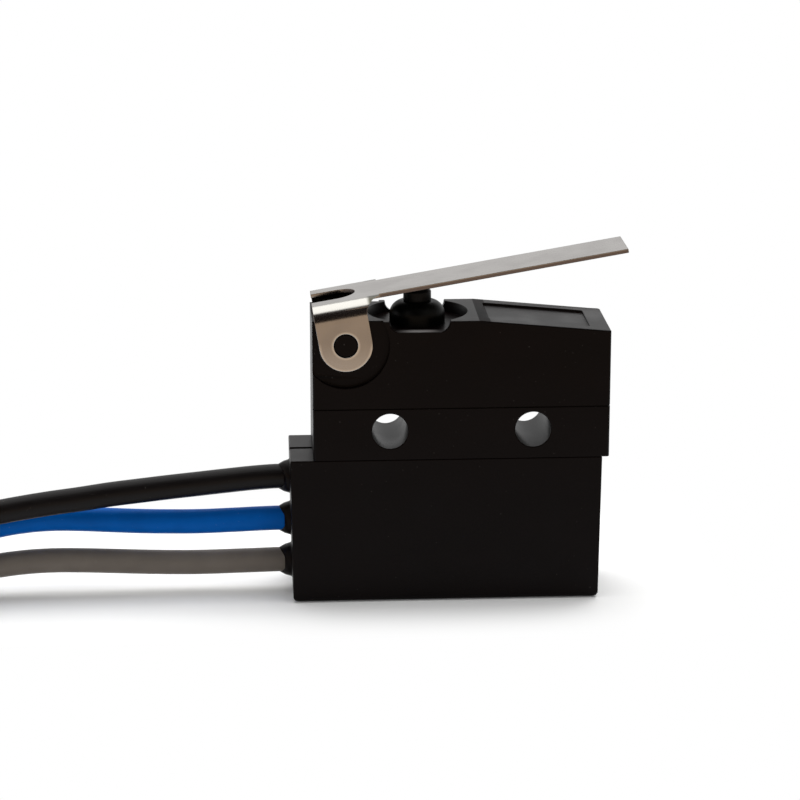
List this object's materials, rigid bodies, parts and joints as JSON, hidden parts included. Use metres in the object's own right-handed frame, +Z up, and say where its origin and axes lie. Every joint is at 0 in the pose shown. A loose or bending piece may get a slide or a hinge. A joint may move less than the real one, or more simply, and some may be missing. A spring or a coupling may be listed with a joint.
{
  "type": "micro switch",
  "caption": "Sealed snap-action micro switch with a straight steel lever over a booted plunger, cross mounting holes and moulded-in leads.",
  "frame": {"origin": "on the underside of the wire cup, midway between the two mounting holes along the housing and midway between the front and back faces", "axes": "+X along the housing towards the lever's tip, away from the leads; +Y along the mounting holes, from the front face to the back face; +Z up, towards the plunger and the lever"},
  "size_m": [0.0756, 0.0161, 0.0237],
  "materials": {
    "moulding": "fine spark-eroded mould texture",
    "resin": "cast resin",
    "lever_steel": "rolled stainless sheet, stamped and bent",
    "plunger_plastic": "smooth moulded",
    "boot_rubber": "smooth moulded rubber",
    "terminal_brass": "stamped strip",
    "contact_silver": "riveted silver alloy",
    "blade_copper": "rolled copper alloy",
    "spring_steel": "drawn wire",
    "black_insulation": "extruded vinyl",
    "blue_insulation": "extruded vinyl",
    "grey_insulation": "extruded vinyl",
    "strand_copper": "bunched strands",
    "solder": "flowed",
    "tie_plastic": "moulded strip"
  },
  "bodies": {
    "housing": {"wire_cup": "moulding", "potting": "resin", "base": "moulding", "cover": "moulding", "plunger_boot": "boot_rubber", "common_terminal": "terminal_brass", "open_terminal": "terminal_brass", "closed_terminal": "terminal_brass", "open_contact": "contact_silver", "closed_contact": "contact_silver", "snap_spring": "spring_steel", "black_lead_end": "black_insulation", "blue_lead_end": "blue_insulation", "grey_lead_end": "grey_insulation", "black_strands": "strand_copper", "blue_strands": "strand_copper", "grey_strands": "strand_copper", "common_solder": "solder", "open_solder": "solder", "closed_solder": "solder", "black_lead": "black_insulation", "blue_lead": "blue_insulation", "grey_lead": "grey_insulation", "lead_hank": "black_insulation", "hank_tie": "tie_plastic"},
    "lever": {"lever": "lever_steel"},
    "plunger": {"plunger": "plunger_plastic"},
    "rocker": {"rocker": "blade_copper"},
    "blade": {"contact_blade": "blade_copper", "moving_contact": "contact_silver"}
  },
  "joints": [
    {"name": "lever_swing", "type": "hinge", "parent": "housing", "child": "lever", "pos_m": [-0.00765, 0, 0.01772], "axis": [0, 1, 0], "range_deg": [0, 9], "stiffness_Nm_per_rad": 0.04, "springref_deg": -8.59},
    {"name": "plunger_slide", "type": "slide", "parent": "housing", "child": "plunger", "axis": [0, 0, -1], "range_m": [0, 0.00083], "deforming": ["plunger_boot"]},
    {"name": "rocker_tilt", "type": "hinge", "parent": "housing", "child": "rocker", "pos_m": [-0.0082, 0, 0.0164], "axis": [0, 1, 0], "range_deg": [0, 8.7], "deforming": ["snap_spring"]},
    {"name": "blade_flip", "type": "hinge", "parent": "housing", "child": "blade", "pos_m": [-0.0082, 0, 0.0152], "axis": [0, 1, 0], "range_deg": [0, 2]}
  ],
  "couplings": [
    {"joint": "plunger_slide", "follows": "lever_swing", "m_per_rad": 0.005229},
    {"joint": "rocker_tilt", "follows": "lever_swing", "ratio": 0.965},
    {"joint": "blade_flip", "follows": "lever_swing", "ratio": 0.2222}
  ]
}
